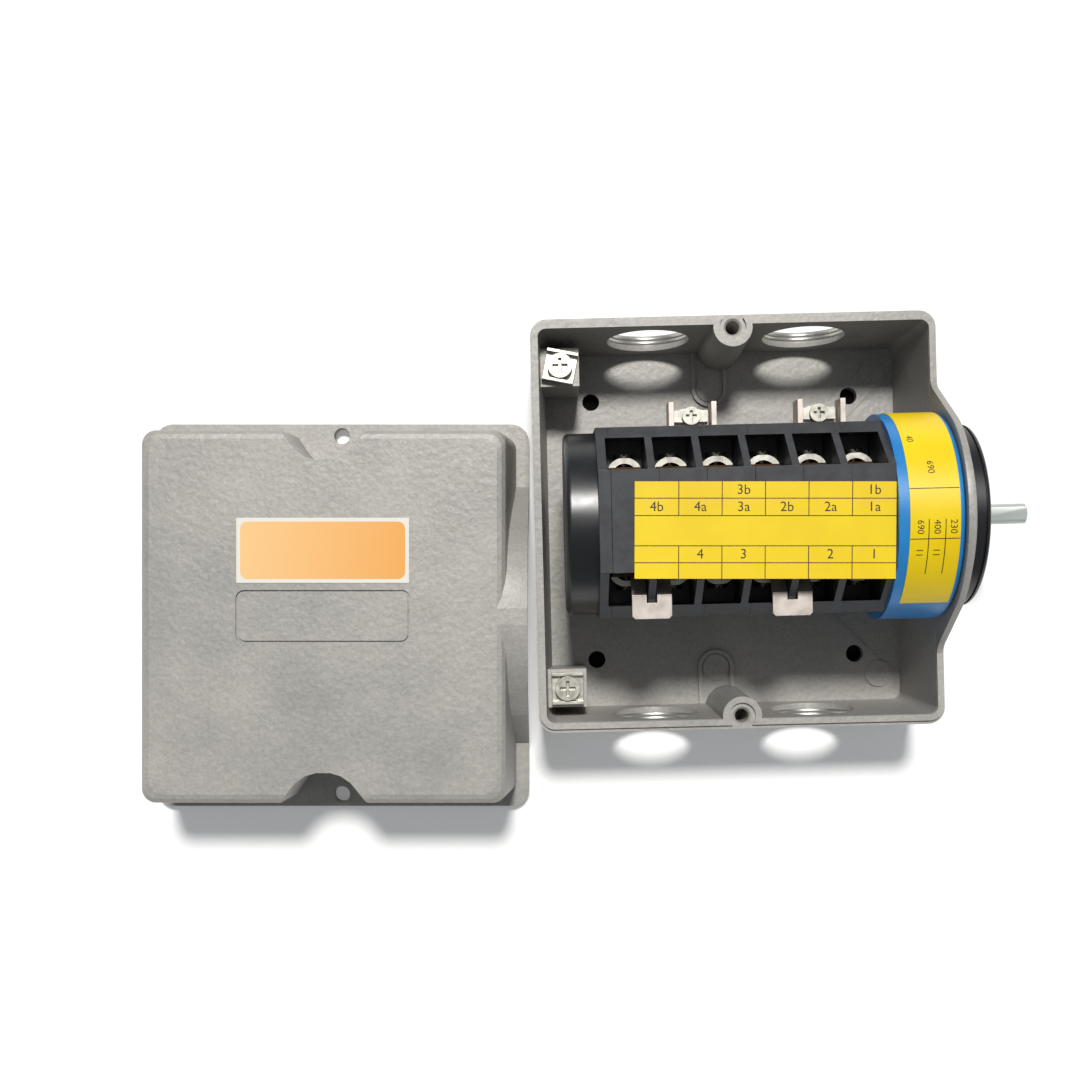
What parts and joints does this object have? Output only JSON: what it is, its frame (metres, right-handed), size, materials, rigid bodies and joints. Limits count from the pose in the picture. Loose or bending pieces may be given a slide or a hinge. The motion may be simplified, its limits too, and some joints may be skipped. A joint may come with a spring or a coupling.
{
  "type": "manual changeover switch",
  "caption": "Manual rotary changeover switch in a painted die-cast box with cable entries and earth terminals; the box stands open and its cover lies beside it.",
  "frame": {"origin": "centre of the four fixing holes, on the underside of the base box", "axes": "+X along the shaft, out of the box; +Z out of the box, away from its floor; +Y across"},
  "size_m": [0.3233, 0.1799, 0.0895],
  "materials": {
    "casting_paint": "grey coat over a cast skin",
    "switch_moulding": "matt black moulding",
    "cap_moulding": "glossy black moulding",
    "ring_moulding": "glossy blue moulding",
    "yellow_label": "glossy film",
    "orange_label": "glossy film",
    "zinc_steel": "zinc plate",
    "plain_steel": "satin",
    "contact_metal": "satin",
    "cam_moulding": "matt moulding",
    "plunger_moulding": "matt moulding",
    "seal_rubber": "matt"
  },
  "bodies": {
    "base": {"base_box": "casting_paint", "earth_screws": "zinc_steel", "earth_saddles": "zinc_steel", "front_disc": "cap_moulding", "disc_screws": "plain_steel", "neck_gasket": "seal_rubber", "shaft_seal": "seal_rubber", "front_ring": "ring_moulding", "ring_label": "yellow_label", "index_rollers": "plain_steel", "index_springs": "plain_steel", "stage_1": "switch_moulding", "stage_2": "switch_moulding", "stage_3": "switch_moulding", "stage_4": "switch_moulding", "stage_5": "switch_moulding", "stage_6": "switch_moulding", "end_plate": "switch_moulding", "rear_cap": "cap_moulding", "tie_screws": "plain_steel", "terminal_label": "yellow_label", "top_fixed_contacts": "contact_metal", "bottom_fixed_contacts": "contact_metal", "top_terminal_screws": "plain_steel", "bottom_terminal_screws": "plain_steel", "top_terminal_saddles": "zinc_steel", "bottom_terminal_saddles": "zinc_steel", "link_clips": "zinc_steel", "link_brackets": "zinc_steel", "bracket_screws": "zinc_steel", "bracket_saddles": "zinc_steel", "top_springs": "plain_steel", "bottom_springs": "plain_steel"},
    "rotor": {"drive_shaft": "zinc_steel", "index_star": "cam_moulding", "end_washer": "plain_steel", "end_screw": "plain_steel", "cam_1": "cam_moulding", "cam_2": "cam_moulding", "cam_3": "cam_moulding", "cam_4": "cam_moulding", "cam_5": "cam_moulding", "cam_6": "cam_moulding"},
    "top_contacts": {"top_plungers": "plunger_moulding", "top_bridges": "contact_metal"},
    "bottom_contacts": {"bottom_plungers": "plunger_moulding", "bottom_bridges": "contact_metal"},
    "cover": {"cover_shell": "casting_paint", "cover_gasket": "seal_rubber", "cover_label": "orange_label"}
  },
  "joints": [
    {"name": "shaft_turn", "type": "hinge", "parent": "base", "child": "rotor", "pos_m": [0, 0, 0.051], "axis": [1, 0, 0], "range_deg": [-60, 60]},
    {"name": "top_contacts_slide", "type": "slide", "parent": "base", "child": "top_contacts", "axis": [0, -0.0349, 0.9994], "range_m": [-0.0022, 0.0022], "deforming": ["top_springs"]},
    {"name": "bottom_contacts_slide", "type": "slide", "parent": "base", "child": "bottom_contacts", "axis": [0, 0.0349, -0.9994], "range_m": [-0.0022, 0.0022], "deforming": ["bottom_springs"]},
    {"name": "cover_lift", "type": "slide", "parent": "base", "child": "cover", "axis": [0, 0, 1], "range_m": [0, 0.1]}
  ],
  "couplings": [
    {"joint": "top_contacts_slide", "follows": "shaft_turn", "m_per_rad": -0.0021008},
    {"joint": "bottom_contacts_slide", "follows": "shaft_turn", "m_per_rad": 0.0021008}
  ]
}
